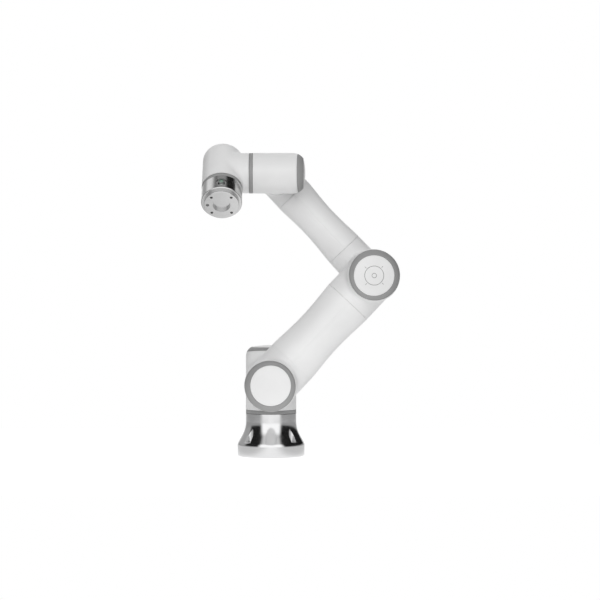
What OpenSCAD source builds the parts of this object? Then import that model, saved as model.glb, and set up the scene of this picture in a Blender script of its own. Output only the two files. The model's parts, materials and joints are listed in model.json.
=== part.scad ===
// Six-axis collaborative robot arm, built from two sizes of joint module.
// Millimetres. +Z up. Origin at the centre of the base's mounting face.
// Every joint module is drawn in its own frame: z along the joint axis towards the cap,
// z = 0 on the branch axis, +x along the branch.

/* [Arm] */
// height of the shoulder axis over the mounting face
shoulder_h = 140; // [110:1:200]
// shoulder axis to elbow axis
upper_len = 270; // [200:1:430]
// elbow axis to first wrist axis
fore_len = 256; // [180:1:400]
// distance of the upper arm's plane in front of the base axis
upper_off = 110; // [100:0.5:140]
// distance of the forearm's plane in front of the base axis
fore_off = 5.5; // [0:0.5:20]
// distance of the wrist's plane in front of the base axis
wrist_off = 103.5; // [95:0.5:120]
// first wrist axis to last wrist axis
wrist_len = 98; // [90:0.5:130]

/* [Rest pose] */
// upper arm above the horizontal
upper_ang = 46.8; // [0:0.1:90]
// forearm direction, counted from +X towards +Z
fore_ang = 133; // [90:0.1:180]
// tilt of the tool axis from straight down towards the front
tool_ang = 46.3; // [0:0.1:90]

/* [Large joint module] */
// outer radius
big_r = 47.4; // [40:0.1:60]
// branch axis to output end
big_out = 53.3; // [45:0.1:70]
// branch axis to cap face
big_cap = 64.3; // [55:0.1:80]
// start of the corner rounding, under the cap face
big_cor_h = 17; // [10:0.1:25]
// radius of the corner rounding
big_cor_r = 19.2; // [15:0.1:30]
// thickness of the seal ring
big_ring = 6.7; // [4:0.1:10]

/* [Small joint module] */
// outer radius
small_r = 36.9; // [30:0.1:45]
// branch axis to output end
small_out = 42.9; // [35:0.1:60]
// branch axis to cap face
small_cap = 49.3; // [40:0.1:65]
// start of the corner rounding, under the cap face
small_cor_h = 18.8; // [10:0.1:22]
// radius of the corner rounding
small_cor_r = 23; // [18:0.1:30]
// thickness of the seal ring
small_ring = 6.8; // [4:0.1:10]
// the last module's closed end: branch axis to the face under its dome
last_cap = 53.3; // [45:0.1:65]
// start of its corner rounding, under that face
last_cor_h = 19.8; // [10:0.1:22]
// radius of its corner rounding
last_cor_r = 24; // [20:0.1:30]

/* [Castings] */
// wall thickness
wall = 2.6; // [2:0.1:4]
// height of the domed cap over its rim
dome_h = 3.5; // [1:0.1:6]
// grey cap ring, depth at its middle
ring_depth = 9.3; // [8:0.1:14]
// tilt of the cap ring's seam
seam_tilt = 5; // [0:0.1:8]

/* [Tubes] */
// upper arm tube radius at its ends
upper_r = 47.2; // [40:0.1:50]
// upper arm tube radius at its waist
upper_waist = 43.4; // [38:0.1:48]
// shoulder axis to the tube's lower seam
upper_seam_a = 57; // [52:0.5:70]
// elbow axis to the tube's upper seam
upper_seam_b = 65; // [55:0.5:75]
// forearm tube radius at its ends
fore_r = 36.8; // [30:0.1:40]
// forearm tube radius at its waist
fore_waist = 33.3; // [28:0.1:36]
// elbow axis to the forearm tube's lower seam
fore_seam_a = 70; // [60:0.5:80]
// wrist axis to the forearm tube's upper seam
fore_seam_b = 48; // [42:0.5:60]

/* [Base] */
// height of the base casting
base_h = 80; // [70:1:110]
// radius of the foot
base_r = 63.3; // [55:0.1:80]
// mounting bolt circle radius
base_pcr = 55; // [50:0.5:70]
// mounting hole radius
base_hole = 3.3; // [2.5:0.1:5]
// bolt pocket radius
pocket_r = 5.5; // [5.5:0.5:9]
// bolt pocket floor
pocket_z = 27.5; // [15:0.5:30]
// width of the rear cover, which carries the cable gland
cover_w = 40; // [30:1:50]
// height of the rear cover
cover_h = 26; // [22:0.5:27]
// base axis to the rear cover's inner face
cover_in = 52; // [45:0.5:56]
// height of the cable inlet
inlet_z = 13; // [11:0.5:15]
// radius of the cable inlet's bore
inlet_r = 4.5; // [3:0.1:6]
// radius of the gland's threaded body
gland_r = 8; // [7:0.1:9]

/* [Tool flange] */
// last joint's branch axis to the tool face
tool_face = 89; // [70:0.5:100]
// flange body radius
tool_r = 36.7; // [31:0.1:40]
// centring boss radius
boss_r = 31.5; // [31:0.1:32]
// centring boss height
boss_h = 6; // [5:0.5:8]
// centring bore radius
bore_r = 15.75; // [15:0.05:16]
// tapped holes, core radius
tap_r = 2.5; // [2:0.1:3]
// tapped holes, bolt circle radius
tap_pcr = 25; // [24:0.5:26]
// dowel hole radius
dowel_r = 3; // [2.5:0.1:3.5]
// place of the connector along the tool axis
plug_s = 67; // [60:0.5:75]

/* [Hidden] */
$fn = 96;
// clearance of a fixed fit, and of a fit that turns
gap = 0.05;
run = 0.2;
// overlap that joins two solids of one piece, and what a cut goes past a face
lap = 0.1;
past = 1;
// thickness of an output hub's plate behind the seal ring
hub_seat = 5;
// lengths inside the large module, counted from its output end; the small one scales them by its radius
flex_from = 8;
flex_len = 18;
flex_wall = 1.2;
wave_from = 13;
wave_len = 10;
bearing_len = 10;
reducer_len = 26;
rotor_from = 28;
rotor_len = 20;
rotor_web = 6;
stator_from = 29;
stator_len = 16;
coil_end = 2;
coil_len = 22;
brake_from = 62;
brake_len = 4;
shaft_len = 84;
shaft_out = 2;
// the drive board's place over the branch axis, and its thickness
board_at = 38;
board_t = 1.6;
elbow_x = upper_len * cos(upper_ang);
elbow_z = shoulder_h + upper_len * sin(upper_ang);
wrist_x = elbow_x + fore_len * cos(fore_ang);
wrist_z = elbow_z + fore_len * sin(fore_ang);
// one record for each module size: [radius, output end, cap face, corner height, corner radius, ring]
big = [big_r, big_out, big_cap, big_cor_h, big_cor_r, big_ring];
small = [small_r, small_out, small_cap, small_cor_h, small_cor_r, small_ring];
last = [small_r, small_out, last_cap, last_cor_h, last_cor_r, small_ring];
big_branch = upper_off - big_out - big_ring;
small_branch = wrist_len - small_out - small_ring;
paint = [0.86, 0.87, 0.88];
tube_paint = [0.80, 0.82, 0.84];
cast_metal = [0.80, 0.80, 0.81];
gland_black = [0.10, 0.10, 0.11];
cap_white = [0.93, 0.94, 0.95];
cap_grey = [0.46, 0.48, 0.50];
steel = [0.72, 0.73, 0.75];
copper = [0.72, 0.42, 0.22];
board_green = [0.10, 0.35, 0.20];

// ---- places -----------------------------------------------------------------

module at_base_joint() { translate([0, 0, shoulder_h]) rotate([0, 0, -90]) children(); }

module at_shoulder() {
    translate([0, -upper_off, shoulder_h]) rotate([0, -upper_ang, 0]) rotate([90, 0, 0]) children();
}

module at_elbow() {
    translate([elbow_x, -upper_off, elbow_z])
        rotate([0, -upper_ang - 180, 0]) rotate([90, 0, 0]) children();
}

// the elbow again, turned so that +x runs along the forearm
module at_elbow_forearm() {
    translate([elbow_x, -upper_off, elbow_z]) rotate([0, -fore_ang, 0]) rotate([90, 0, 0]) children();
}

module at_wrist1() {
    translate([wrist_x, -fore_off, wrist_z]) rotate([0, 180 - fore_ang, 0]) rotate([-90, 0, 0]) children();
}

module at_wrist2() { translate([wrist_x, -wrist_off, wrist_z]) rotate([90, 0, 90]) children(); }

module at_wrist3() {
    translate([wrist_x - wrist_len, -wrist_off, wrist_z]) rotate([-tool_ang, 0, 0]) children();
}

// ---- profiles ---------------------------------------------------------------

// rounded corner of a module, pulled in by `in`
function corner(m, in, n = 6) =
    let (r = m[4] - in, z0 = m[2] - m[3], top = asin((m[3] - in) / r))
    [for (i = [0:n]) [m[0] - m[4] + r * cos(top * i / n), z0 + r * sin(top * i / n)]];

function face_r(m) = m[0] - m[4] + sqrt(m[4] * m[4] - m[3] * m[3]);

module skin(m, in, bottom) {
    rotate_extrude()
        polygon(concat([[0, bottom], [m[0] - in, bottom]], corner(m, in), [[0, m[2] - in]]));
}

// half space over the tilted seam of the cap ring
module over_seam(m) {
    translate([0, 0, m[2] - ring_depth]) rotate([0, -seam_tilt, 0])
        translate([-100, -100, 0]) cube([200, 200, 60]);
}

function waist(r, mid, a, b, n = 12) =
    [for (i = [0:n]) [r - (r - mid) * pow(sin(180 * i / n), 1.3), a + (b - a) * i / n]];

// ---- joint module pieces ------------------------------------------------------

function hub_r(m) = 0.62 * m[0];
function flex_r(m) = 0.5 * m[0];
function shaft_r(m) = 0.2 * m[0];
function len_k(m) = m[0] / big_r;

// casting: barrel with a branch; closed = end plate for the joint before it
module housing(m, reach, closed) {
    difference() {
        union() {
            difference() {
                skin(m, 0, -m[1]);
                over_seam(m);
            }
            rotate([0, 90, 0]) cylinder(r = m[0] - 0.3, h = reach);
        }
        skin(m, wall, -m[1] - past);
        rotate([0, 90, 0]) translate([0, 0, 1])
            cylinder(r = m[0] - wall - 0.6, h = reach - (closed ? 7 : -1));
        if (closed)
            rotate([0, 90, 0]) cylinder(r = hub_r(m) + gap, h = reach + 1);
    }
}

// cast dome in place of a cap ring and cap
module dome(m) {
    intersection() {
        over_seam(m);
        difference() {
            union() {
                skin(m, 0, 0);
                cap(m);
            }
            skin(m, wall, -1);
        }
    }
}

// hub that carries the joint before it, seen from the joint's own frame
module output_hub(m) {
    k = len_k(m);
    difference() {
        union() {
            translate([0, 0, -m[1] - m[5] - hub_seat])
                cylinder(r = hub_r(m), h = m[5] + hub_seat + flex_from * k);
            translate([0, 0, -m[1] + flex_from * k - lap]) cylinder(r = flex_r(m), h = flex_len * k);
        }
        translate([0, 0, -m[1] + flex_from * k])
            cylinder(r = flex_r(m) - flex_wall, h = flex_len * k + past);
        translate([0, 0, -m[1] - m[5] - hub_seat - past])
            cylinder(r = shaft_r(m) + 3 * run, h = m[5] + hub_seat + flex_from * k + 2 * past);
    }
}

module seal_ring(m) {
    translate([0, 0, -m[1] - m[5] + run]) difference() {
        cylinder(r = m[0] - 0.1, h = m[5] - run);
        translate([0, 0, -1]) cylinder(r = hub_r(m) + run, h = m[5] + 2);
    }
}

module cap_ring(m) {
    intersection() {
        over_seam(m);
        difference() {
            skin(m, 0, 0);
            skin(m, wall, -1);
            translate([0, 0, m[2] - 1.5]) cylinder(r = face_r(m), h = 10);
            translate([0, 0, m[2] - 10]) cylinder(r = face_r(m) - 3, h = 20);
        }
    }
}

module cap(m) {
    r = face_r(m) - gap;
    q = (r * r + dome_h * dome_h) / (2 * dome_h);
    top = asin(r / q);
    translate([0, 0, m[2]]) rotate_extrude()
        polygon(concat([[0, -1.5 + gap], [r, -1.5 + gap]],
            [for (i = [0:8]) [q * sin(top * (1 - i / 8)), q * cos(top * (1 - i / 8)) - q + dome_h]]));
}

// fixed spline on its bearing flange, one ring in the barrel
module reducer(m) {
    k = len_k(m);
    translate([0, 0, -m[1] + run]) difference() {
        union() {
            cylinder(r = m[0] - wall - gap, h = bearing_len * k);
            cylinder(r = 0.84 * m[0], h = reducer_len * k);
        }
        translate([0, 0, -past]) cylinder(r = hub_r(m) + run, h = (flex_from + 0.5) * k + past);
        cylinder(r = flex_r(m) + run, h = reducer_len * k + past);
    }
}

module stator(m) {
    k = len_k(m);
    translate([0, 0, -m[1] + stator_from * k]) difference() {
        union() {
            cylinder(r = m[0] - wall - gap, h = stator_len * k);
            translate([0, 0, -coil_end * k]) cylinder(r = 0.8 * m[0], h = coil_len * k);
        }
        translate([0, 0, -coil_end * k - past]) cylinder(r = 0.54 * m[0], h = coil_len * k + 2 * past);
    }
}

// magnet rotor, hollow shaft, wave generator and brake disc turn as one
module rotor(m) {
    k = len_k(m);
    difference() {
        union() {
            translate([0, 0, -m[1] - shaft_out]) cylinder(r = shaft_r(m), h = shaft_len * k);
            translate([0, 0, -m[1] + wave_from * k])
                cylinder(r = flex_r(m) - flex_wall - 2 * run, h = wave_len * k);
            translate([0, 0, -m[1] + rotor_from * k]) cylinder(r = 0.52 * m[0], h = rotor_len * k);
            translate([0, 0, -m[1] + brake_from * k]) cylinder(r = 0.45 * m[0], h = brake_len * k);
        }
        translate([0, 0, -m[1] - shaft_out - past])
            cylinder(r = 0.14 * m[0], h = shaft_len * k + 2 * past);
        translate([0, 0, -m[1] + (rotor_from + rotor_web) * k]) difference() {
            cylinder(r = 0.42 * m[0], h = (rotor_len - rotor_web) * k + past);
            cylinder(r = shaft_r(m), h = rotor_len * k);
        }
    }
}

module drive_board(m) {
    k = len_k(m);
    difference() {
        union() {
            translate([0, 0, board_at * k]) cylinder(r = 0.84 * m[0], h = board_t);
            for (a = [0:60:300])
                rotate([0, 0, a]) translate([0.5 * m[0], -5 * k, board_at * k + past])
                    cube([9 * k, 10 * k, 4 * k]);
        }
        translate([0, 0, board_at * k - past]) cylinder(r = 0.28 * m[0], h = board_t + 2 * past);
    }
}

module tube(r, mid, a, b) {
    rotate_extrude()
        polygon(concat(waist(r, mid, a, b), [for (p = [12:-1:0]) waist(r, mid, a, b)[p] - [wall, 0]]));
}

// ---- base ---------------------------------------------------------------------

// outside of the base, from the foot up the flare to the neck
module base_outline() {
    rotate_extrude() polygon([[0, 0], [base_r - 2.2, 0], [base_r - 0.6, 0.8], [base_r, 2.5],
        [base_r, 19.5], [base_r - 0.5, 23], [base_r - 1.4, 25.6], [base_r - 2.8, 27.5],
        [57.6, 32], [55.4, 36], [53.3, 40], [51.4, 43.5], [49.8, 47], [49, 51], [48.1, 55],
        [big_r + 0.2, 57.5], [big_r + 0.2, base_h], [0, base_h]]);
}

module base_casting() color(cast_metal) {
    difference() {
        base_outline();
        translate([0, 0, -past]) cylinder(r = 39, h = base_h - 8 + past);
        translate([0, 0, base_h - 8 - lap]) cylinder(r = hub_r(big) + gap, h = 8 + past);
        for (a = [45:90:315]) rotate([0, 0, a]) {
            translate([base_pcr, 0, -past]) cylinder(r = base_hole, h = pocket_z + 2 * past);
            translate([base_pcr, 0, pocket_z]) cylinder(r = pocket_r, h = base_h / 2);
            translate([base_pcr, -pocket_r, pocket_z]) cube([20, 2 * pocket_r, base_h / 2]);
        }
        translate([-cover_w / 2, 30, -past]) cube([cover_w, base_r, cover_h + past]);
    }
}

// plate that closes the casting's window at the back
module base_rear_cover() color(cast_metal) {
    difference() {
        intersection() {
            base_outline();
            translate([gap - cover_w / 2, cover_in, 0]) cube([cover_w - 2 * gap, base_r, cover_h - gap]);
        }
        translate([0, 0, inlet_z]) rotate([-90, 0, 0]) cylinder(r = gland_r + gap, h = base_r + past);
    }
}

module base_cable_gland() color(gland_black) {
    translate([0, 0, inlet_z]) rotate([-90, 0, 0]) difference() {
        union() {
            translate([0, 0, cover_in - 4]) cylinder(r = gland_r, h = base_r + past - cover_in + 4);
            translate([0, 0, base_r + 0.3]) cylinder(r = gland_r + 3, h = 5, $fn = 6);
            translate([0, 0, base_r + 5]) cylinder(r1 = gland_r + 1, r2 = gland_r, h = 7);
        }
        translate([0, 0, cover_in - 4 - past]) cylinder(r = inlet_r, h = base_r);
    }
}

module base_output_hub() color(steel) at_base_joint() output_hub(big);

// ---- base joint (turns with the shoulder) -----------------------------------------

module base_joint_housing() color(paint) at_base_joint() housing(big, big_branch, true);
module base_joint_cap_ring() color(cap_grey) at_base_joint() cap_ring(big);
module base_joint_cap() color(cap_white) at_base_joint() cap(big);
module base_joint_seal() color(cap_grey) at_base_joint() seal_ring(big);
module base_joint_stator() color(copper) at_base_joint() stator(big);
module base_joint_rotor() color(steel) at_base_joint() rotor(big);
module base_joint_reducer() color(steel) at_base_joint() reducer(big);
module base_joint_drive_board() color(board_green) at_base_joint() drive_board(big);
module shoulder_output_hub() color(steel) at_shoulder() output_hub(big);

// ---- shoulder and elbow modules (both ride on the upper arm) -----------------------

module shoulder_housing() color(paint) at_shoulder() housing(big, upper_seam_a, false);
module shoulder_cap_ring() color(cap_grey) at_shoulder() cap_ring(big);
module shoulder_cap() color(cap_white) at_shoulder() cap(big);
module shoulder_seal() color(cap_grey) at_shoulder() seal_ring(big);
module elbow_housing() color(paint) at_elbow() housing(big, upper_seam_b, false);
module elbow_cap_ring() color(cap_grey) at_elbow() cap_ring(big);
module elbow_cap() color(cap_white) at_elbow() cap(big);
module elbow_seal() color(cap_grey) at_elbow() seal_ring(big);

module upper_arm_tube() color(tube_paint)
    translate([0, -upper_off, shoulder_h]) rotate([0, 90 - upper_ang, 0])
        tube(upper_r, upper_waist, upper_seam_a, upper_len - upper_seam_b);

module upper_arm_stators() color(copper) { at_shoulder() stator(big); at_elbow() stator(big); }
module upper_arm_rotors() color(steel) { at_shoulder() rotor(big); at_elbow() rotor(big); }
module upper_arm_reducers() color(steel) { at_shoulder() reducer(big); at_elbow() reducer(big); }
module upper_arm_drive_boards() color(board_green) {
    at_shoulder() drive_board(big);
    at_elbow() drive_board(big);
}

// ---- forearm ------------------------------------------------------------------------

module elbow_output_hub() color(steel) at_elbow_forearm() output_hub(big);

// collar that turns the elbow's output into the forearm tube
module elbow_collar() color(paint) at_elbow_forearm() {
    top = big_out + big_ring;
    mid = upper_off - fore_off;
    back = mid + fore_r - 0.4;
    difference() {
        union() {
            mirror([0, 0, 1]) rotate_extrude() polygon([[0, top], [big_r, top], [big_r, mid - 14],
                [big_r - 0.9, mid - 2], [big_r - 3.4, mid + 9], [big_r - 8, mid + 18.5],
                [big_r - 14, mid + 26], [big_r - 21.4, mid + 32], [big_r - 30, back - 1], [0, back]]);
            translate([0, 0, -mid]) rotate([0, 90, 0])
                cylinder(r1 = fore_r + 1.6, r2 = fore_r, h = fore_seam_a);
        }
        mirror([0, 0, 1]) rotate_extrude() polygon([[0, top + 6], [big_r - wall, top + 6],
            [big_r - wall, mid - 14], [big_r - wall - 3.5, mid + 7.5], [big_r - wall - 14.5, mid + 23.5],
            [big_r - wall - 30, back - wall - 1], [0, back - wall - 0.5]]);
        translate([0, 0, -mid]) rotate([0, 90, 0]) cylinder(r = fore_r - wall, h = fore_seam_a + 1);
        translate([0, 0, -top - 7]) cylinder(r = hub_r(big) + gap, h = 10);
    }
}

module forearm_tube() color(tube_paint)
    translate([elbow_x, -fore_off, elbow_z]) rotate([0, 90 - fore_ang, 0])
        tube(fore_r, fore_waist, fore_seam_a, fore_len - fore_seam_b);

module wrist1_housing() color(paint) at_wrist1() housing(small, fore_seam_b, false);
module wrist1_cap_ring() color(cap_grey) at_wrist1() cap_ring(small);
module wrist1_cap() color(cap_white) at_wrist1() cap(small);
module wrist1_seal() color(cap_grey) at_wrist1() seal_ring(small);
module wrist1_stator() color(copper) at_wrist1() stator(small);
module wrist1_rotor() color(steel) at_wrist1() rotor(small);
module wrist1_reducer() color(steel) at_wrist1() reducer(small);
module wrist1_drive_board() color(board_green) at_wrist1() drive_board(small);
module wrist1_output_hub() color(steel) at_wrist1() output_hub(small);

// ---- second wrist module ---------------------------------------------------------------

module wrist2_housing() color(paint) at_wrist2() housing(small, small_branch, true);
module wrist2_cap_ring() color(cap_grey) at_wrist2() cap_ring(small);
module wrist2_cap() color(cap_white) at_wrist2() cap(small);
module wrist2_seal() color(cap_grey) at_wrist2() seal_ring(small);
module wrist2_stator() color(copper) at_wrist2() stator(small);
module wrist2_rotor() color(steel) at_wrist2() rotor(small);
module wrist2_reducer() color(steel) at_wrist2() reducer(small);
module wrist2_drive_board() color(board_green) at_wrist2() drive_board(small);
module wrist2_output_hub() color(steel) at_wrist2() output_hub(small);

// ---- third wrist module and tool flange -------------------------------------------------

// the last housing is closed by its own dome and has no cap
module wrist3_housing() color(paint) at_wrist3() {
    housing(last, small_branch, true);
    dome(last);
}
module wrist3_seal() color(cap_grey) at_wrist3() seal_ring(small);
module wrist3_stator() color(copper) at_wrist3() stator(small);
module wrist3_rotor() color(steel) at_wrist3() rotor(small);
module wrist3_reducer() color(steel) at_wrist3() reducer(small);
module wrist3_drive_board() color(board_green) at_wrist3() drive_board(small);

// flange body with its own output hub behind it, drilled to the standard 50 mm circle
module tool_flange() color(cast_metal) at_wrist3() mirror([0, 0, 1]) {
    back = small_out + small_ring;
    hub_k = len_k(small);
    difference() {
        union() {
            rotate_extrude() polygon([[0, back], [tool_r - 0.8, back], [tool_r, back + 0.8],
                [tool_r, tool_face - boss_h - 1], [tool_r - 1, tool_face - boss_h],
                [boss_r, tool_face - boss_h], [boss_r, tool_face - 0.6], [boss_r - 0.6, tool_face],
                [0, tool_face]]);
            translate([0, 0, small_out - flex_from * hub_k])
                cylinder(r = hub_r(small), h = small_ring + flex_from * hub_k + past);
            translate([0, 0, small_out - (flex_from + flex_len) * hub_k])
                cylinder(r = flex_r(small), h = flex_len * hub_k + lap);
        }
        translate([0, 0, small_out - (flex_from + flex_len) * hub_k - past])
            cylinder(r = flex_r(small) - flex_wall, h = flex_len * hub_k + past);
        translate([0, 0, tool_face - 6.5]) cylinder(r = bore_r, h = 10);
        translate([0, 0, small_out - 20]) cylinder(r = shaft_r(small) + 0.6, h = 20 + small_ring);
        for (a = [45:90:315]) rotate([0, 0, a]) translate([tap_pcr, 0, tool_face - 10])
            cylinder(r = tap_r, h = 12);
        translate([-tap_pcr, 0, tool_face - 8]) cylinder(r = dowel_r, h = 12);
        translate([0, -26, plug_s]) rotate([90, 0, 0]) cylinder(r = 6.5 + gap, h = 20);
        translate([0, -34.4, plug_s]) rotate([90, 0, 0]) cylinder(r = 9, h = 20);
    }
}

// screw-lock socket in the flange's side
module tool_connector() color([0.16, 0.16, 0.17]) at_wrist3()
    translate([0, -26.1, -plug_s]) rotate([90, 0, 0]) difference() {
        union() {
            cylinder(r = 6.5, h = 9);
            translate([0, 0, 8.5]) cylinder(r = 5.9, h = 4);
        }
        translate([0, 0, 5]) cylinder(r = 4.7, h = 10);
    }

module tool_connector_core() color([0.10, 0.45, 0.30]) at_wrist3()
    translate([0, -26.1, -plug_s]) rotate([90, 0, 0]) difference() {
        translate([0, 0, 5]) cylinder(r = 3.6, h = 6.2);
        for (a = [0:45:315]) rotate([0, 0, a]) translate([2.3, 0, 8]) cylinder(r = 0.5, h = 5);
    }

base_casting();
base_rear_cover();
base_cable_gland();
base_output_hub();
base_joint_housing();
base_joint_cap_ring();
base_joint_cap();
base_joint_seal();
base_joint_stator();
base_joint_rotor();
base_joint_reducer();
base_joint_drive_board();
shoulder_output_hub();
shoulder_housing();
shoulder_cap_ring();
shoulder_cap();
shoulder_seal();
elbow_housing();
elbow_cap_ring();
elbow_cap();
elbow_seal();
upper_arm_tube();
upper_arm_stators();
upper_arm_rotors();
upper_arm_reducers();
upper_arm_drive_boards();
elbow_output_hub();
elbow_collar();
forearm_tube();
wrist1_housing();
wrist1_cap_ring();
wrist1_cap();
wrist1_seal();
wrist1_stator();
wrist1_rotor();
wrist1_reducer();
wrist1_drive_board();
wrist1_output_hub();
wrist2_housing();
wrist2_cap_ring();
wrist2_cap();
wrist2_seal();
wrist2_stator();
wrist2_rotor();
wrist2_reducer();
wrist2_drive_board();
wrist2_output_hub();
wrist3_housing();
wrist3_seal();
wrist3_stator();
wrist3_rotor();
wrist3_reducer();
wrist3_drive_board();
tool_flange();
tool_connector();
tool_connector_core();
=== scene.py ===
"""Looks of the six-axis robot arm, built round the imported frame.

The castings are blended solids: a distance function for each one is meshed, cut along its seams
and given a small rounded lip at every cut. Lengths in the functions are millimetres in each
joint module's own frame (z along the joint axis towards the cap, x along the branch), and
place() turns them into metres in the row frame.
"""
import json
import math

import bmesh
import bpy
import numpy as np
from mathutils import Matrix, Vector


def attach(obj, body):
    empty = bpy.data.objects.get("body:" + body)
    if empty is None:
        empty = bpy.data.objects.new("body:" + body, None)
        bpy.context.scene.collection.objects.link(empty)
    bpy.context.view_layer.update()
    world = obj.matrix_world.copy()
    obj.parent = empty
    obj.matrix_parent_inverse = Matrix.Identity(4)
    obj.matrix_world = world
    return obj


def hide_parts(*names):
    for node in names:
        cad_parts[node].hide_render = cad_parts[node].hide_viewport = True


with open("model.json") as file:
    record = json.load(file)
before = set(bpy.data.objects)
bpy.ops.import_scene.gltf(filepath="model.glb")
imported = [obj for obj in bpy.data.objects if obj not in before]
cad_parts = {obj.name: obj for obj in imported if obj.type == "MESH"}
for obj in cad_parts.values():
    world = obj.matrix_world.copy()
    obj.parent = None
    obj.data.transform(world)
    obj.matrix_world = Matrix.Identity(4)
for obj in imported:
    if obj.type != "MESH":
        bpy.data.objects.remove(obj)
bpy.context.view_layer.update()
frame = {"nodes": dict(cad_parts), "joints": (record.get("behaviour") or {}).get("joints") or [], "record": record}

MM = 0.001
JOINT = {j["name"]: j for j in frame["joints"]}


# ---- driving dimensions (millimetres) -----------------------------------------------------------

class Size:
    """One size of joint module."""

    def __init__(self, radius, out, cap, corner_h, corner_r, ring):
        self.radius = radius        # barrel radius
        self.out = out              # branch axis to output end
        self.cap = cap              # branch axis to cap face
        self.corner_z = cap - corner_h
        self.corner_r = corner_r
        self.ring = ring            # seal ring's thickness
        self.branch = radius - 0.3  # branch radius
        self.face = radius - corner_r + math.sqrt(corner_r ** 2 - corner_h ** 2)


BIG = Size(47.4, 53.3, 64.3, 17.0, 19.2, 6.7)
SMALL = Size(36.9, 42.9, 49.3, 18.8, 23.0, 6.8)
LAST = Size(36.9, 42.9, 53.3, 19.8, 24.0, 6.8)   # the last module, closed by a cast dome
LAST_DOME = 2.5            # height of that dome over its face
RING_DEPTH = 9.3           # cap ring, depth at its middle
SEAM_TILT = math.radians(5)
DOME = 3.5                 # height of a cap's dome
CAP_GAP = 0.75             # between a cap's rim and its ring
LIP = 0.45                 # radius of the rounded edge at a seam
FINE_LIP = 0.08            # the same at a seam that hardly shows
LIP_DEEP = 3.0             # how far a cut edge turns inwards
SHOULDER_SEAM = 57.0
ELBOW_SEAM = 65.0
COLLAR_SEAM = 70.0
WRIST_SEAM = 48.0
UPPER_R, UPPER_WAIST = 47.2, 43.4
FORE_R, FORE_WAIST = 36.8, 33.3
ROOT_TAPER = 1.6           # what the forearm's root gains in radius at the elbow axis
COLLAR_BACK = 1.4          # how far the collar's back end reaches past the forearm's radius
COLLAR_CORNER = 44.0       # rounding of that end
BASE_TOP = 80.0
NECK_R, FOOT_R = BIG.radius + 0.2, 63.3
FLARE_LOW, FLARE_SLOPE = 22.0, 0.545   # where the flare starts, and how fast it narrows
NECK_BLEND, FOOT_BLEND = 7.0, 1.8      # rounding between neck and flare, and flare and foot
FOOT_EDGE = 2.2            # rounding of the foot's lower edge
BASE_CAVITY_R, BASE_CAVITY_TOP = 39.0, 72.0
BOLT_CIRCLE_R, BOLT_HOLE_R = 55.0, 3.3
POCKET_R, POCKET_FLOOR = 5.5, 27.5
COVER_HALF, COVER_TOP, COVER_FROM = 20.3, 26.3, 30.0   # window behind the rear cover
PARTING = 0.8              # half width of a tube's parting line
PARTING_DEPTH = 0.35
MARK_LIFT = 0.08           # height of the printed mark over its cap
MARK_RINGS = (4.0, 17.0)   # middle radii of its rings
MARK_LINE = 0.5            # half width of those rings
MARK_TICK = (19.0, 23.0)   # inner and outer end of a tick
CELL, BASE_CELL = 1.6, 1.15            # grid that a casting's surface is found on


def vec(*v):
    return Vector(v)


def joint_at(name):
    return Vector(JOINT[name]["pos_m"]) / MM


# ---- places of the modules ----------------------------------------------------------------------

def axes_at(origin, z, x):
    """Local frame with its z and x axes along the given directions, origin in millimetres."""
    z = z.normalized()
    x = (x - z * x.dot(z)).normalized()
    y = z.cross(x)
    m = Matrix((x, y, z)).transposed().to_4x4()
    m.translation = origin
    return m


FRONT = vec(0, -1, 0)
SHOULDER = joint_at("shoulder_lift")
ELBOW = joint_at("elbow_bend")
WRIST1 = joint_at("wrist_1_turn")
WRIST2 = joint_at("wrist_2_turn")
WRIST3 = joint_at("wrist_3_turn")
UPPER_DIR = (ELBOW - SHOULDER).normalized()
FORE_DIR = vec(WRIST1.x - ELBOW.x, 0, WRIST1.z - ELBOW.z).normalized()
TOOL_DIR = Vector(JOINT["wrist_3_turn"]["axis"])
FORE_ROOT = vec(ELBOW.x, WRIST1.y, ELBOW.z)

AT = {
    "base_joint": axes_at(vec(0, 0, SHOULDER.z), vec(0, 0, 1), FRONT),
    "shoulder": axes_at(SHOULDER, FRONT, UPPER_DIR),
    "elbow": axes_at(ELBOW, FRONT, -UPPER_DIR),
    "collar": axes_at(ELBOW, FRONT, FORE_DIR),
    "wrist1": axes_at(WRIST1, -FRONT, -FORE_DIR),
    "wrist2": axes_at(WRIST2, vec(1, 0, 0), -FRONT),
    "wrist3": axes_at(WRIST3, -TOOL_DIR, vec(1, 0, 0)),
    "upper_tube": axes_at(SHOULDER, UPPER_DIR, FRONT),
    "forearm_tube": axes_at(FORE_ROOT, FORE_DIR, FRONT),
    "base": Matrix.Identity(4),
}
BODY = {
    "base_joint": "shoulder", "shoulder": "upper_arm", "elbow": "upper_arm", "wrist1": "forearm",
    "wrist2": "wrist_1", "wrist3": "wrist_2",
}
SIZE = {
    "base_joint": BIG, "shoulder": BIG, "elbow": BIG, "wrist1": SMALL, "wrist2": SMALL, "wrist3": LAST,
}


# ---- distance functions -------------------------------------------------------------------------

def length(*parts):
    return np.sqrt(sum(p * p for p in parts))


def rounded_rod(rho, z, radius, end, corner):
    """Rod along z that ends at z = end with a rounded corner."""
    a = rho - (radius - corner)
    b = z - (end - corner)
    return np.minimum(np.maximum(a, b), 0) + length(np.maximum(a, 0), np.maximum(b, 0)) - corner


def rounding(a, b, width):
    """What a smooth minimum of a and b takes off, or a smooth maximum adds."""
    h = np.clip(width - np.abs(a - b), 0, None)
    return h * h / (4 * width)


def blend(a, b, alike, width):
    """Union of a and b with a fillet, which fades out where the two surfaces run alike."""
    w = width * (1 - np.clip(alike, 0, 1) ** 2) + 1e-6
    return np.minimum(a, b) - rounding(a, b, w)


def carve(a, b, width):
    """a with b cut out of it, the edge rounded."""
    return np.maximum(a, -b) + rounding(a, -b, width)


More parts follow.
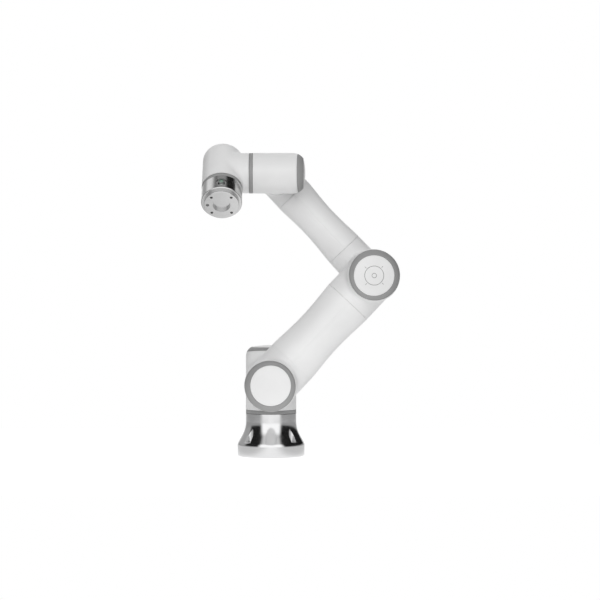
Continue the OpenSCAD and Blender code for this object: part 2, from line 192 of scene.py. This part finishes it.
def crease_width(z, radius, middle, at_output, at_cap):
    """Fillet width along the crease between barrel and branch, narrow where it nears the seams."""
    end = at_output + (at_cap - at_output) * np.clip(0.5 + z / (2 * radius), 0, 1)
    return end + (middle - end) * np.clip(1 - (z / radius) ** 2, 0, 1)


def housing_field(size, widths, closed=False):
    """Barrel along z and branch along +x; when closed, the barrel ends in a cast dome."""

    def field(p):
        x, y, z = p.T
        rho = length(x, y) + 1e-9
        arm = length(y, z) + 1e-9
        if closed:
            barrel = rounded_rod(rho, z, size.radius, size.cap + LAST_DOME, size.corner_r + 0.5)
        else:
            barrel = rounded_rod(rho, z, size.radius, size.corner_z + size.corner_r, size.corner_r)
        branch = np.maximum(arm - size.branch, -x)
        return blend(barrel, branch, (y / rho) * (y / arm), crease_width(z, size.radius, *widths))

    return field


def collar_field(p):
    """Elbow collar: barrel down the elbow axis with a round end, and the forearm's root."""
    x, y, z = p.T
    middle = ELBOW.y - FORE_ROOT.y
    end = FORE_R + COLLAR_BACK - middle
    rho = length(x, y) + 1e-9
    arm = length(y, z - middle) + 1e-9
    barrel = rounded_rod(rho, -z, BIG.radius, end, COLLAR_CORNER)
    taper = FORE_R + ROOT_TAPER * np.clip(1 - x / COLLAR_SEAM, 0, 1)
    branch = np.maximum(arm - taper, -x)
    # the barrel faces sideways along its side and turns to face along its axis on the round end
    side = np.maximum(rho - (BIG.radius - COLLAR_CORNER), 0)
    tip = np.maximum(-z - (end - COLLAR_CORNER), 0)
    slant = length(side, tip) + 1e-9
    alike = (side * y * y / rho - tip * (z - middle)) / (arm * slant)
    width = crease_width(z - middle, FORE_R, *COLLAR_CREASE)
    return blend(barrel, branch, alike, width)


def base_radius(z):
    """Outline of the base: foot, rounded shoulder, flare, neck."""
    cone = FOOT_R + 0.6 - FLARE_SLOPE * (z - FLARE_LOW)
    body = np.maximum(cone, NECK_R) + rounding(cone, NECK_R, NECK_BLEND)
    return np.minimum(body, FOOT_R) - rounding(body, FOOT_R, FOOT_BLEND)


def base_field(p):
    x, y, z = p.T
    rho = length(x, y)
    side = (rho - base_radius(z)) / 1.08
    foot = length(np.maximum(side + FOOT_EDGE, 0), np.maximum(FOOT_EDGE - z, 0)) - FOOT_EDGE
    body = np.maximum(side, foot)
    for quarter in range(4):
        a = math.radians(45 + 90 * quarter)
        u = x * math.cos(a) + y * math.sin(a)
        v = -x * math.sin(a) + y * math.cos(a)
        from_bolt = length(u - BOLT_CIRCLE_R, v)
        pocket = np.where(u > BOLT_CIRCLE_R, np.abs(v), from_bolt) - POCKET_R
        body = carve(body, np.maximum(pocket, POCKET_FLOOR - z), 0.7)
        body = carve(body, from_bolt - BOLT_HOLE_R, 0.6)
    body = carve(body, np.maximum(rho - BASE_CAVITY_R, z - BASE_CAVITY_TOP), 0.8)
    window = np.maximum(np.maximum(np.abs(x) - COVER_HALF, z - COVER_TOP), COVER_FROM - y)
    return carve(body, window, 0.5)


# ---- meshing ------------------------------------------------------------------------------------

def gradient(field, p, step=0.02):
    g = np.empty_like(p)
    for k in range(3):
        d = np.zeros(3)
        d[k] = step
        g[:, k] = (field(p + d) - field(p - d)) / (2 * step)
    return g


def skin_mesh(field, low, high, cell):
    """Vertices and quads of the surface where field is zero, one vertex for each cell it crosses."""
    low, high = np.array(low, float), np.array(high, float)
    n = np.ceil((high - low) / cell).astype(int) + 1
    ticks = [low[k] + cell * np.arange(n[k]) for k in range(3)]
    grid = np.stack(np.meshgrid(*ticks, indexing="ij"), -1).reshape(-1, 3)
    v = np.concatenate([field(part) for part in np.array_split(grid, 8)]).reshape(n)
    inside = v < 0
    total = np.zeros(tuple(n - 1) + (3,))
    count = np.zeros(tuple(n - 1))
    crossings = []
    for k in range(3):
        a = [slice(None)] * 3
        b = [slice(None)] * 3
        a[k], b[k] = slice(0, -1), slice(1, None)
        a, b = tuple(a), tuple(b)
        cross = inside[a] != inside[b]
        i, j, l = np.nonzero(cross)
        va, vb = v[a][cross], v[b][cross]
        at = np.stack([i, j, l], 1).astype(float)
        at[:, k] += va / (va - vb)
        crossings.append((np.stack([i, j, l], 1), inside[a][cross]))
        o1, o2 = [m for m in range(3) if m != k]
        for s1 in (0, -1):
            for s2 in (0, -1):
                c = np.stack([i, j, l], 1)
                c[:, o1] += s1
                c[:, o2] += s2
                ok = np.all((c >= 0) & (c < n - 1), axis=1)
                np.add.at(total, tuple(c[ok].T), at[ok])
                np.add.at(count, tuple(c[ok].T), 1)
    used = count > 0
    index = -np.ones(used.shape, int)
    index[used] = np.arange(used.sum())
    verts = low + cell * total[used] / count[used][:, None]
    faces = []
    for k in range(3):
        c, start_inside = crossings[k]
        o1, o2 = (k + 1) % 3, (k + 2) % 3
        ring = []
        for s1, s2 in ((0, 0), (-1, 0), (-1, -1), (0, -1)):
            d = c.copy()
            d[:, o1] += s1
            d[:, o2] += s2
            ring.append(d)
        ok = np.ones(len(c), bool)
        for d in ring:
            ok &= np.all((d >= 0) & (d < n - 1), axis=1)
        quad = np.stack([index[tuple(d[ok].T)] for d in ring], 1)
        flip = ~start_inside[ok]
        quad[flip] = quad[flip][:, ::-1]
        faces.append(quad)
    for _ in range(4):
        g = gradient(field, verts)
        f = field(verts)
        step = f / np.maximum((g * g).sum(1), 0.05)
        verts = verts - g * np.clip(step, -cell, cell)[:, None]
    return verts, np.concatenate(faces)


def cut_with_lips(bm, field, planes):
    """Cuts bm along each plane and turns the cut edge inwards, rounded. A plane is (point, normal, lip)."""
    store = bm.verts.layers.float_vector.get("n") or bm.verts.layers.float_vector.new("n")
    for point, normal, lip in planes:
        point, normal = Vector(point), Vector(normal).normalized()
        at = point - normal * lip
        bmesh.ops.bisect_plane(
            bm, geom=bm.verts[:] + bm.edges[:] + bm.faces[:], dist=1e-5,
            plane_co=at, plane_no=normal, clear_outer=True)
        rim = [e for e in bm.edges if e.is_boundary
               and all(abs((v.co - at).dot(normal)) < 1e-3 for v in e.verts)]
        rim_verts = list({v for e in rim for v in e.verts})
        co = np.array([v.co for v in rim_verts])
        outward = gradient(field, co)
        across = np.array(normal)
        outward -= (outward @ across)[:, None] * across
        outward /= np.linalg.norm(outward, axis=1)[:, None] + 1e-9
        rings = []
        for turn in (30, 60, 90):
            a = math.radians(turn)
            shift = outward * (lip * math.cos(a) - lip) + across * lip * math.sin(a)
            rings.append((co + shift, outward * math.cos(a) + across * math.sin(a)))
        inner = co - outward * LIP_DEEP + across * lip
        rings.append((inner, np.tile(across, (len(co), 1))))
        rings.append((inner - across * LIP_DEEP, -outward))
        previous = {v: v for v in rim_verts}
        for place_at, facing in rings:
            fresh = {}
            for v, c, f in zip(rim_verts, place_at, facing):
                w = bm.verts.new(c)
                w[store] = Vector(f)
                fresh[v] = w
            for e in rim:
                loop = e.link_loops[0] if e.link_loops else None
                if loop is None:
                    continue
                a, b = loop.vert, loop.link_loop_next.vert
                bm.faces.new((previous[b], previous[a], fresh[a], fresh[b]))
            previous = fresh


def place(name, bm, where, material, field=None):
    """Object in metres in the row frame from a bmesh in local millimetres."""
    store = bm.verts.layers.float_vector.get("n")
    bm.verts.ensure_lookup_table()
    facing = None
    if field is not None:
        co = np.array([v.co for v in bm.verts])
        facing = gradient(field, co)
        facing /= np.linalg.norm(facing, axis=1)[:, None] + 1e-9
        if store:
            kept = np.array([v[store] for v in bm.verts])
            has = np.abs(kept).sum(1) > 0.5
            facing[has] = kept[has]
    mesh = bpy.data.meshes.new(name)
    bm.to_mesh(mesh)
    bm.free()
    spin = where.to_3x3()
    move = where.copy()
    move.translation = where.translation * MM
    mesh.transform(move @ Matrix.Scale(MM, 4))
    mesh.shade_smooth()
    if facing is not None:
        turned = facing @ np.array(spin).T
        mesh.normals_split_custom_set_from_vertices([tuple(v) for v in turned])
    if "n" in mesh.attributes:
        mesh.attributes.remove(mesh.attributes["n"])
    mesh.materials.append(material)
    obj = bpy.data.objects.new(name, mesh)
    bpy.context.scene.collection.objects.link(obj)
    return obj


def field_piece(name, where, material, field, low, high, cell, planes):
    verts, quads = skin_mesh(field, low, high, cell)
    bm = bmesh.new()
    made = [bm.verts.new(v) for v in verts]
    for q in quads:
        if len(set(q)) == 4:
            try:
                bm.faces.new([made[i] for i in q])
            except ValueError:
                pass
    cut_with_lips(bm, field, planes)
    return place(name, bm, where, material, field)


def lathe(profile, steps=160, angles=None, dent=None):
    """Turns (radius, z) points about z. Points at radius 0 close the end."""
    bm = bmesh.new()
    turns = angles if angles is not None else [2 * math.pi * i / steps for i in range(steps)]
    rows = []
    for r, z in profile:
        if r < 1e-6:
            rows.append([bm.verts.new((0, 0, z))])
            continue
        row = []
        for a in turns:
            q = r - (dent(a) if dent else 0)
            row.append(bm.verts.new((q * math.cos(a), q * math.sin(a), z)))
        rows.append(row)
    count = len(turns)
    for low, high in zip(rows, rows[1:]):
        for i in range(count):
            j = (i + 1) % count
            corners = [low[0 if len(low) == 1 else i], low[0 if len(low) == 1 else j],
                       high[0 if len(high) == 1 else j], high[0 if len(high) == 1 else i]]
            unique = list(dict.fromkeys(corners))
            if len(unique) > 2:
                bm.faces.new(unique)
    bmesh.ops.recalc_face_normals(bm, faces=bm.faces[:])
    return bm


def arc(cx, cz, r, a0, a1, steps):
    """Points on an arc, angles in degrees from the outward direction towards +z."""
    out = []
    for i in range(steps + 1):
        a = math.radians(a0 + (a1 - a0) * i / steps)
        out.append((cx + r * math.cos(a), cz + r * math.sin(a)))
    return out


def turned_piece(name, where, material, profile, sharp=35, **options):
    bm = lathe(profile, **options)
    obj = place(name, bm, where, material)
    obj.data.set_sharp_from_angle(angle=math.radians(sharp))
    return obj


# ---- materials ----------------------------------------------------------------------------------

def shader(name, color, rough, metal=0.0):
    m = bpy.data.materials.new(name)
    m.use_nodes = True
    b = m.node_tree.nodes["Principled BSDF"]
    b.inputs["Base Color"].default_value = (*color, 1)
    b.inputs["Roughness"].default_value = rough
    b.inputs["Metallic"].default_value = metal
    return m, b


def link(m, a, b):
    m.node_tree.links.new(a, b)


def object_noise(m, scale, detail=3.0, rough=0.55):
    nodes = m.node_tree.nodes
    where = nodes.new("ShaderNodeTexCoord")
    noise = nodes.new("ShaderNodeTexNoise")
    noise.inputs["Scale"].default_value = scale
    noise.inputs["Detail"].default_value = detail
    noise.inputs["Roughness"].default_value = rough
    link(m, where.outputs["Object"], noise.inputs["Vector"])
    return noise


def ranged(m, value, low, high, start=0.3, stop=0.7):
    """Maps a noise value to a range."""
    r = m.node_tree.nodes.new("ShaderNodeMapRange")
    r.inputs["From Min"].default_value = start
    r.inputs["From Max"].default_value = stop
    r.inputs["To Min"].default_value = low
    r.inputs["To Max"].default_value = high
    link(m, value, r.inputs["Value"])
    return r.outputs["Result"]


def tint(m, b, value, dark, light):
    mix = m.node_tree.nodes.new("ShaderNodeMix")
    mix.data_type = "RGBA"
    link(m, value, mix.inputs["Factor"])
    mix.inputs["A"].default_value = (*dark, 1)
    mix.inputs["B"].default_value = (*light, 1)
    link(m, mix.outputs["Result"], b.inputs["Base Color"])


def bump(m, b, value, strength, distance):
    node = m.node_tree.nodes.new("ShaderNodeBump")
    node.inputs["Strength"].default_value = strength
    node.inputs["Distance"].default_value = distance
    link(m, value, node.inputs["Height"])
    link(m, node.outputs["Normal"], b.inputs["Normal"])


def coated(name, color, rough, grain=1500, depth=0.00002, spread=0.03):
    """Paint or anodising: slight mottling, fine orange-peel grain."""
    m, b = shader(name, color, rough)
    mottle = object_noise(m, 14)
    tint(m, b, ranged(m, mottle.outputs["Fac"], 0, 1),
         tuple(c * (1 - spread) for c in color), tuple(min(1, c * (1 + spread)) for c in color))
    fine = object_noise(m, grain, 2.0)
    link(m, ranged(m, fine.outputs["Fac"], rough - 0.04, rough + 0.05), b.inputs["Roughness"])
    bump(m, b, fine.outputs["Fac"], 0.25, depth)
    return m


def polished(name, color, rough, spread, scale=60):
    m, b = shader(name, color, rough, 1.0)
    n = object_noise(m, scale, 4.0)
    link(m, ranged(m, n.outputs["Fac"], rough - spread, rough + spread), b.inputs["Roughness"])
    wave = object_noise(m, 22, 2.0)
    bump(m, b, wave.outputs["Fac"], 0.12, 0.0006)
    return m


PAINT = coated("housing_paint", (0.75, 0.75, 0.75), 0.38)
TUBE = coated("tube_paint", (0.77, 0.77, 0.77), 0.40)
CAP_WHITE = coated("cap_white", (0.73, 0.73, 0.73), 0.3)
CAP_GREY = coated("cap_grey", (0.29, 0.29, 0.29), 0.5, spread=0.05)
CAST = polished("cast_metal", (0.74, 0.74, 0.745), 0.15, 0.04)
FLANGE = polished("flange_metal", (0.64, 0.64, 0.64), 0.2, 0.04, 200)
STEEL = polished("steel", (0.6, 0.61, 0.62), 0.3, 0.06)
BLACK = coated("gland_black", (0.03, 0.03, 0.033), 0.5)
CONNECTOR = polished("connector_metal", (0.62, 0.63, 0.63), 0.25, 0.05)
GREEN = coated("connector_core", (0.22, 0.31, 0.26), 0.4)
COPPER = polished("windings", (0.6, 0.3, 0.14), 0.35, 0.05)
BOARD = coated("board", (0.04, 0.2, 0.09), 0.4)
MARK = coated("printed_mark", (0.25, 0.25, 0.25), 0.5)

SLOT_MATERIAL = {
    "cast_metal": CAST, "flange_metal": FLANGE, "gland_black": BLACK, "connector_metal": CONNECTOR,
    "connector_core": GREEN, "windings": COPPER, "board": BOARD, "steel": STEEL,
    "cap_grey": CAP_GREY, "cap_white": CAP_WHITE, "tube_paint": TUBE, "housing_paint": PAINT,
}
for part in frame["record"]["subparts"]:
    node = frame["nodes"][part["node"]]
    node.data.materials.clear()
    node.data.materials.append(SLOT_MATERIAL[part["material_slot"]])


def adopt(obj, body, slot, *nodes):
    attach(obj, body)
    if nodes:
        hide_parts(*nodes)
    return obj


# ---- castings -----------------------------------------------------------------------------------

def seam_plane(size, side=1):
    """Tilted seam between a housing and its cap ring; side -1 keeps what lies beyond it."""
    normal = (-side * math.sin(SEAM_TILT), 0, side * math.cos(SEAM_TILT))
    return (0, 0, size.cap - RING_DEPTH), normal, LIP


def make_housing(key, reach, widths, closed=False, end_lip=LIP):
    size = SIZE[key]
    field = housing_field(size, widths, closed)
    planes = [((0, 0, -size.out), (0, 0, -1), LIP), ((reach, 0, 0), (1, 0, 0), end_lip)]
    if not closed:
        planes.append(seam_plane(size))
    r = size.radius + 3
    obj = field_piece(key + "_casting", AT[key], PAINT, field, (-r, -r, -size.out - 3),
                      (reach + 3, r, size.cap + 6), CELL, planes)
    adopt(obj, BODY[key], "housing_paint", key + "_housing")


# fillet widths: middle of the crease, at the output end, at the cap end
BIG_CREASE = (16.0, 6.0, 9.0)
SMALL_CREASE = (13.0, 6.0, 5.0)
LAST_CREASE = (13.0, 6.0, 10.0)
COLLAR_CREASE = (18.0, 12.0, 6.0)

make_housing("base_joint", -SHOULDER.y - BIG.out - BIG.ring, BIG_CREASE)
make_housing("shoulder", SHOULDER_SEAM, BIG_CREASE, end_lip=FINE_LIP)
make_housing("elbow", ELBOW_SEAM, BIG_CREASE)
make_housing("wrist1", WRIST_SEAM, SMALL_CREASE)
make_housing("wrist2", (WRIST1.y - WRIST2.y) - (SMALL.out + SMALL.ring), SMALL_CREASE)
make_housing("wrist3", (WRIST2.x - WRIST3.x) - (SMALL.out + SMALL.ring), LAST_CREASE, closed=True)

collar_top = BIG.out + BIG.ring
collar = field_piece(
    "elbow_collar_casting", AT["collar"], PAINT, collar_field,
    (-50.5, -50.5, ELBOW.y - FORE_ROOT.y - FORE_R - 6), (COLLAR_SEAM + 3, 50.5, -collar_top + 3), CELL,
    [((0, 0, -collar_top), (0, 0, 1), LIP), ((COLLAR_SEAM, 0, 0), (1, 0, 0), LIP)])
adopt(collar, "forearm", "housing_paint", "elbow_collar")

base = field_piece(
    "base_polished_casting", AT["base"], CAST, base_field,
    (-65, -65, -2), (65, 65, BASE_TOP + 3), BASE_CELL, [((0, 0, BASE_TOP), (0, 0, 1), LIP)])
adopt(base, "base", "cast_metal", "base_casting")


# ---- cap rings, caps and seal rings -------------------------------------------------------------

def make_cap_ring(key):
    size = SIZE[key]
    field = housing_field(size, (0.01, 0.01, 0.01))
    r0, z0, rc = size.radius - size.corner_r, size.corner_z, size.corner_r
    top = math.degrees(math.asin((size.cap - z0) / rc))
    edge = 0.5
    profile = [(size.radius, z0 - 6)] + arc(r0, z0, rc, 0, top - 1.5, 20)
    profile += arc(size.face, size.cap - edge, edge, 60, 180, 5) + [(size.face - edge, size.cap - 3)]
    bm = lathe(profile)
    cut_with_lips(bm, field, [seam_plane(size, -1)])
    obj = place(key + "_cap_band", bm, AT[key], CAP_GREY)
    obj.data.set_sharp_from_angle(angle=math.radians(40))
    adopt(obj, BODY[key], "cap_grey", key + "_cap_ring")


def cap_ball(size):
    """A cap's radius, and the radius of the ball that its dome is a piece of."""
    r = size.face - CAP_GAP
    return r, (r * r + DOME * DOME) / (2 * DOME)


def make_cap(key):
    size = SIZE[key]
    r, ball = cap_ball(size)
    top = math.degrees(math.asin(r / ball))
    edge = 0.6
    profile = [(r, size.cap - 2)] + arc(r - edge, size.cap - edge - 0.1, edge, 0, 90 - top, 4)
    for i in range(1, 25):
        a = math.radians(top * (1 - i / 24)) * (r - edge) / r
        profile.append((ball * math.sin(a), size.cap - 0.1 + DOME - ball * (1 - math.cos(a))))
    profile[-1] = (0, profile[-1][1])
    obj = turned_piece(key + "_cap_disc", AT[key], CAP_WHITE, profile)
    adopt(obj, BODY[key], "cap_white", key + "_cap")


def make_seal(key):
    size = SIZE[key]
    low, high = -size.out - size.ring + 0.15, -size.out - 0.1
    r, edge = size.radius - 0.15, 0.5
    profile = [(r - 8, low)] + arc(r - edge, low + edge, edge, -90, 0, 4)
    profile += arc(r - edge, high - edge, edge, 0, 90, 4) + [(r - 8, high)]
    obj = turned_piece(key + "_seal_band", AT[key], CAP_GREY, profile)
    adopt(obj, BODY[key], "cap_grey", key + "_seal")


for key in SIZE:
    make_seal(key)
    if key != "wrist3":
        make_cap_ring(key)
        make_cap(key)


def make_mark(key):
    """Plain joint-axis mark printed on a cap: two thin rings and four ticks."""
    size = SIZE[key]
    _, ball = cap_ball(size)

    def on_cap(rho):
        return size.cap - 0.1 + DOME - (ball - math.sqrt(ball * ball - rho * rho)) + MARK_LIFT

    bm = bmesh.new()

    def strip(low, high, start, stop, steps):
        rows = []
        for i in range(steps + 1):
            a = math.radians(start + (stop - start) * i / steps)
            rows.append([bm.verts.new((q * math.cos(a), q * math.sin(a), on_cap(q))) for q in (low, high)])
        for one, two in zip(rows, rows[1:]):
            bm.faces.new((one[0], one[1], two[1], two[0]))

    for radius in MARK_RINGS:
        strip(radius - MARK_LINE, radius + MARK_LINE, 0, 360, 72)
    for quarter in range(4):
        strip(*MARK_TICK, 90 * quarter - 1.2, 90 * quarter + 1.2, 2)
    bmesh.ops.remove_doubles(bm, verts=bm.verts[:], dist=1e-4)
    adopt(place(key + "_axis_mark", bm, AT[key], MARK), BODY[key], "cap_grey")


make_mark("elbow")


# ---- tubes --------------------------------------------------------------------------------------

def tube_angles(radius, steps=144):
    """Even angles, with narrow steps at the front and back parting lines."""
    fine = [PARTING / radius * k for k in (-2, -1, 0, 1, 2)]
    even = [2 * math.pi * i / steps for i in range(steps)]
    near = 3 * PARTING / radius
    kept = [a for a in even
            if min(abs(a), abs(a - math.pi), abs(a - 2 * math.pi)) > near]
    extra = [a % (2 * math.pi) for a in fine] + [math.pi + a for a in fine]
    return sorted(kept + extra)


def make_tube(name, where, radius, waist, start, stop, body, first_edge=0.4):
    edge = 0.4
    profile = [(radius - 3, start + 3), (radius - 3, start + 0.02), (radius - first_edge, start + 0.02)]
    profile += arc(radius - first_edge, start + first_edge, first_edge, -60, 0, 3)
    steps = 40
    for i in range(1, steps):
        t = i / steps
        profile.append((radius - (radius - waist) * math.sin(math.pi * t) ** 1.3, start + (stop - start) * t))
    profile += arc(radius - edge, stop - edge, edge, 0, 60, 3)
    profile += [(radius - edge, stop - 0.02), (radius - 3, stop - 0.02), (radius - 3, stop - 3)]

    def dent(a):
        off = min(abs(a), abs(a - math.pi), abs(a - 2 * math.pi)) * radius
        return PARTING_DEPTH * max(0.0, 1 - off / (PARTING * 1.2))

    obj = turned_piece(name, where, TUBE, profile, angles=tube_angles(radius), dent=dent)
    adopt(obj, body, "tube_paint", name.replace("_shell", ""))


upper_len = (ELBOW - SHOULDER).length
fore_len = (WRIST1 - FORE_ROOT).length
make_tube("upper_arm_tube_shell", AT["upper_tube"], UPPER_R, UPPER_WAIST, SHOULDER_SEAM,
          upper_len - ELBOW_SEAM, "upper_arm", first_edge=FINE_LIP)
make_tube("forearm_tube_shell", AT["forearm_tube"], FORE_R, FORE_WAIST, COLLAR_SEAM,
          fore_len - WRIST_SEAM, "forearm")


# ---- metal parts that keep their CAD shape ------------------------------------------------------

def soften(node, width):
    """Rounds a CAD node's edges a little."""
    obj = frame["nodes"][node]
    obj.data.shade_smooth()
    mod = obj.modifiers.new("edges", "BEVEL")
    mod.width = width
    mod.segments = 2
    mod.limit_method = "ANGLE"
    mod.angle_limit = math.radians(40)
    mod.harden_normals = True


for part, width in (("tool_flange", 0.0003), ("tool_connector", 0.0002), ("base_cable_gland", 0.0003),
                    ("base_rear_cover", 0.0004)):
    soften(part, width)


# ---- stage: floor, light, camera ----------------------------------------------------------------

def plane(name, size, place_at, material, turn=(0, 0, 0)):
    bpy.ops.mesh.primitive_plane_add(size=size, location=place_at, rotation=turn)
    obj = bpy.context.object
    obj.name = name
    obj.data.materials.append(material)
    return obj


FLOOR_GLOW, FLOOR_SIDES = 0.86, 0.45     # emission in the middle, and what reflections see at the sides
FLOOR_FALL = (0.03, 0.17)                # where it falls off, metres to either side

floor_mat, floor_shader = shader("floor", (0.3, 0.3, 0.3), 0.9)
floor_shader.inputs["Emission Color"].default_value = (1, 1, 1, 1)


def floor_glow(m, b, strength, sides, start, stop):
    """Emission of the floor; a reflection sees it fall off to both sides of the middle."""
    nodes = m.node_tree.nodes
    where = nodes.new("ShaderNodeTexCoord")
    parts = nodes.new("ShaderNodeSeparateXYZ")
    off = nodes.new("ShaderNodeMath")
    off.operation = "ABSOLUTE"
    fall = nodes.new("ShaderNodeMapRange")
    fall.interpolation_type = "SMOOTHSTEP"
    for slot, value in zip(("From Min", "From Max", "To Min", "To Max"), (start, stop, strength, sides)):
        fall.inputs[slot].default_value = value
    seen = nodes.new("ShaderNodeLightPath")
    mix = nodes.new("ShaderNodeMix")
    mix.inputs["A"].default_value = strength
    link(m, where.outputs["Object"], parts.inputs[0])
    link(m, parts.outputs["X"], off.inputs[0])
    link(m, off.outputs[0], fall.inputs["Value"])
    link(m, seen.outputs["Is Glossy Ray"], mix.inputs["Factor"])
    link(m, fall.outputs["Result"], mix.inputs["B"])
    link(m, mix.outputs["Result"], b.inputs["Emission Strength"])


floor_glow(floor_mat, floor_shader, FLOOR_GLOW, FLOOR_SIDES, *FLOOR_FALL)
plane("floor", 1.3, (0, 0, -0.0005), floor_mat)


MIDDLE = (0.05, 0, 0.3)    # what the lights point at


def area(name, width, height, place_at, power):
    data = bpy.data.lights.new(name, "AREA")
    data.shape = "RECTANGLE"
    data.size, data.size_y = width, height
    data.energy = power
    obj = bpy.data.objects.new(name, data)
    obj.location = place_at
    obj.rotation_euler = (Vector(MIDDLE) - Vector(place_at)).to_track_quat("-Z", "Y").to_euler()
    obj.visible_glossy = False
    bpy.context.scene.collection.objects.link(obj)


# name, width, height, place, power
LIGHTS = (
    ("key", 2.2, 2.2, (0.0, -3.2, 1.4), 63),
    ("fill_right", 1.4, 1.8, (2.2, -1.6, 1.2), 2),
    ("fill_left", 1.4, 1.8, (-2.2, -1.6, 1.2), 2),
    ("rear", 2.2, 2.2, (0.0, 3.2, 1.4), 30),
    ("top", 2.0, 2.0, (0, 0.2, 2.8), 8),
)
for light in LIGHTS:
    area(*light)

world = bpy.data.worlds.new("studio")
bpy.context.scene.world = world
world.use_nodes = True
tree = world.node_tree
tree.nodes.clear()


def number(kind, *values, **options):
    """A Math or Map Range node of the studio; values are numbers or sockets."""
    n = tree.nodes.new(kind)
    for key, value in options.items():
        setattr(n, key, value)
    for slot, value in zip(n.inputs, values):
        if hasattr(value, "is_output"):
            tree.links.new(value, slot)
        else:
            slot.default_value = value
    return n.outputs[0]


def step_up(value, start, stop):
    """0 below start, 1 above stop, smooth between."""
    return number("ShaderNodeMapRange", value, start, stop, 0.0, 1.0, interpolation_type="SMOOTHSTEP")


def times(*values):
    total = values[0]
    for value in values[1:]:
        total = number("ShaderNodeMath", total, value, operation="MULTIPLY")
    return total


def less(value):
    return number("ShaderNodeMath", 1.0, value, operation="SUBTRACT")


def mixed(factor, low, high):
    """low where factor is 0, high where it is 1."""
    part = times(factor, number("ShaderNodeMath", high, low, operation="SUBTRACT"))
    return number("ShaderNodeMath", low, part, operation="ADD")


# what polished metal reflects: a bright front, brightest just over the horizon, a grey horizon, black
# flags above it to both sides, a soft panel up at the back left, a dim ceiling and a bright wall
# behind; height is the sine of the elevation
FRONT_LOW, FRONT_PEAK, FRONT_HIGH = 0.98, 1.28, 0.72
HORIZON, CEILING, BACK_WALL = 0.36, 0.34, 0.95
FLAG, LEFT_BACK, LEFT_PANEL = 0.012, 0.42, 1.0
AMBIENT = 0.34             # strength of the world for all rays but reflections and the camera

way = tree.nodes.new("ShaderNodeTexCoord")
split = tree.nodes.new("ShaderNodeSeparateXYZ")
tree.links.new(way.outputs["Generated"], split.inputs[0])
across, away, height = split.outputs
flat = number("ShaderNodeMath", less(times(height, height)), 0.5, operation="POWER")
behind = number("ShaderNodeMath", away, flat, operation="DIVIDE")
front = less(step_up(behind, -0.84, -0.62))
raised = step_up(height, 0.06, 0.18)
left_back = times(less(step_up(across, -0.1, 0.1)), step_up(away, 0.1, 0.3))
panel = times(step_up(height, 0.4, 0.58), less(step_up(height, 0.76, 0.9)))
flags = mixed(left_back, FLAG, mixed(panel, LEFT_BACK, LEFT_PANEL))
walls = mixed(step_up(behind, 0.86, 0.95), mixed(raised, HORIZON, flags), BACK_WALL)
glow = mixed(step_up(height, -0.2, 0.12), FRONT_LOW, FRONT_PEAK)
ahead = mixed(step_up(height, 0.55, 0.8), glow, FRONT_HIGH)
bright = mixed(step_up(height, 0.92, 0.97), mixed(front, walls, ahead), CEILING)

out = tree.nodes.new("ShaderNodeOutputWorld")
ray = tree.nodes.new("ShaderNodeLightPath")


def background(strength):
    n = tree.nodes.new("ShaderNodeBackground")
    n.inputs["Color"].default_value = (1, 1, 1, 1)
    if hasattr(strength, "is_output"):
        tree.links.new(strength, n.inputs["Strength"])
    else:
        n.inputs["Strength"].default_value = strength
    return n.outputs[0]


def choose(test, no, yes):
    n = tree.nodes.new("ShaderNodeMixShader")
    tree.links.new(ray.outputs[test], n.inputs[0])
    tree.links.new(no, n.inputs[1])
    tree.links.new(yes, n.inputs[2])
    return n.outputs[0]


lit = choose("Is Glossy Ray", background(AMBIENT), background(bright))
tree.links.new(choose("Is Camera Ray", lit, background(1.0)), out.inputs["Surface"])

scene = bpy.context.scene
scene.view_settings.view_transform = "Standard"

camera = bpy.data.cameras.new("camera")
camera.lens = 105.11
camera.sensor_width = 36
camera.clip_end = 50
eye = bpy.data.objects.new("camera", camera)
eye.location = (0.01694, -3.3, 0.3049)
eye.rotation_euler = (math.radians(90 - 0.214), 0, math.radians(-0.651))
scene.collection.objects.link(eye)
scene.camera = eye

bpy.context.view_layer.update()
